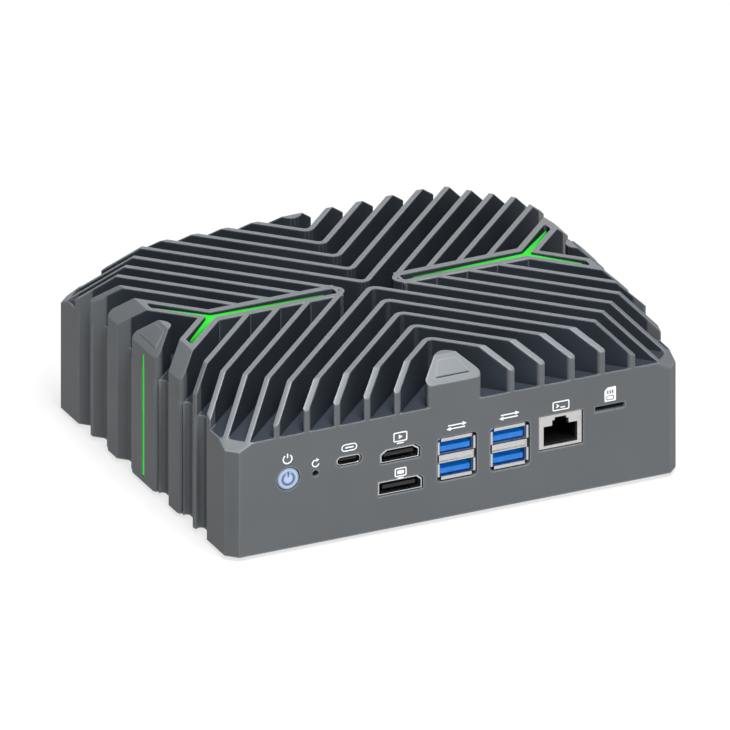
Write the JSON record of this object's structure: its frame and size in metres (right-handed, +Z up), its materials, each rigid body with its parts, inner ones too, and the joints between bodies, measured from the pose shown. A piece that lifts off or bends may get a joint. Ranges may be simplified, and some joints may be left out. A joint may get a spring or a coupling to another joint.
{
  "type": "mini pc",
  "caption": "Fanless mini computer with a chevron-finned aluminium case, two Y-shaped green light slots, front ports with a power button, and rear network ports.",
  "frame": {"origin": "centre of the footprint at the underside of the rubber feet", "axes": "+Z up, +X to the right along the front port face, +Y from the front port face to the back"},
  "size_m": [0.166, 0.1366, 0.0579],
  "materials": {
    "anodised_case": "bead-blasted anodised",
    "painted_cover": "matt",
    "screw_steel": "satin",
    "connector_steel": "satin",
    "plated_shell": "bright",
    "black_rubber": "matt",
    "black_plastic": "matt",
    "green_light": "diffusing",
    "circuit_board": "solder mask",
    "blue_plastic": "moulded",
    "button_plastic": "translucent",
    "copper": "plain copper"
  },
  "bodies": {
    "chassis": {"heatsink_case": "anodised_case", "bottom_cover": "painted_cover", "cover_screw_1": "screw_steel", "rubber_foot_1": "black_rubber", "board_screw_1": "screw_steel", "cover_screw_2": "screw_steel", "rubber_foot_2": "black_rubber", "board_screw_2": "screw_steel", "cover_screw_3": "screw_steel", "rubber_foot_3": "black_rubber", "board_screw_3": "screw_steel", "cover_screw_4": "screw_steel", "rubber_foot_4": "black_rubber", "board_screw_4": "screw_steel", "light_trough_right": "black_plastic", "light_guide_right": "green_light", "light_board_right": "circuit_board", "side_light_strip_right": "black_plastic", "side_light_bar_right": "green_light", "light_trough_left": "black_plastic", "light_guide_left": "green_light", "light_board_left": "circuit_board", "side_light_strip_left": "black_plastic", "side_light_bar_left": "green_light", "mainboard": "circuit_board", "processor": "black_plastic", "heat_spreader": "copper", "memory_slot": "black_plastic", "memory_module": "circuit_board", "ssd_socket": "black_plastic", "ssd": "circuit_board", "ssd_screw": "screw_steel", "cell_holder": "black_plastic", "coin_cell": "screw_steel", "power_switch": "black_plastic", "reset_switch": "black_plastic", "type_c_shell": "connector_steel", "type_c_tongue": "black_plastic", "hdmi_shell": "connector_steel", "hdmi_tongue": "black_plastic", "display_shell": "connector_steel", "display_tongue": "black_plastic", "usb_shell_1": "plated_shell", "usb_tongue_1_upper": "blue_plastic", "usb_tongue_1_lower": "blue_plastic", "usb_shell_2": "plated_shell", "usb_tongue_2_upper": "blue_plastic", "usb_tongue_2_lower": "blue_plastic", "com_jack_shield": "plated_shell", "com_jack_insert": "black_plastic", "sim_reader": "connector_steel", "lan_shield_1": "plated_shell", "lan_insert_1": "black_plastic", "lan_shield_2": "plated_shell", "lan_insert_2": "black_plastic", "dc_jack": "black_plastic", "antenna_plug_1": "black_rubber", "antenna_plug_2": "black_rubber"},
    "power_key": {"power_button": "button_plastic"},
    "reset_pin": {"reset_plunger": "black_plastic"}
  },
  "joints": [
    {"name": "power_button_press", "type": "slide", "parent": "chassis", "child": "power_key", "axis": [0, 1, 0], "range_m": [0, 0.0005], "stiffness_N_per_m": 800, "springref_m": -0.001},
    {"name": "reset_press", "type": "slide", "parent": "chassis", "child": "reset_pin", "axis": [0, 1, 0], "range_m": [0, 0.00025], "stiffness_N_per_m": 800, "springref_m": -0.001}
  ]
}
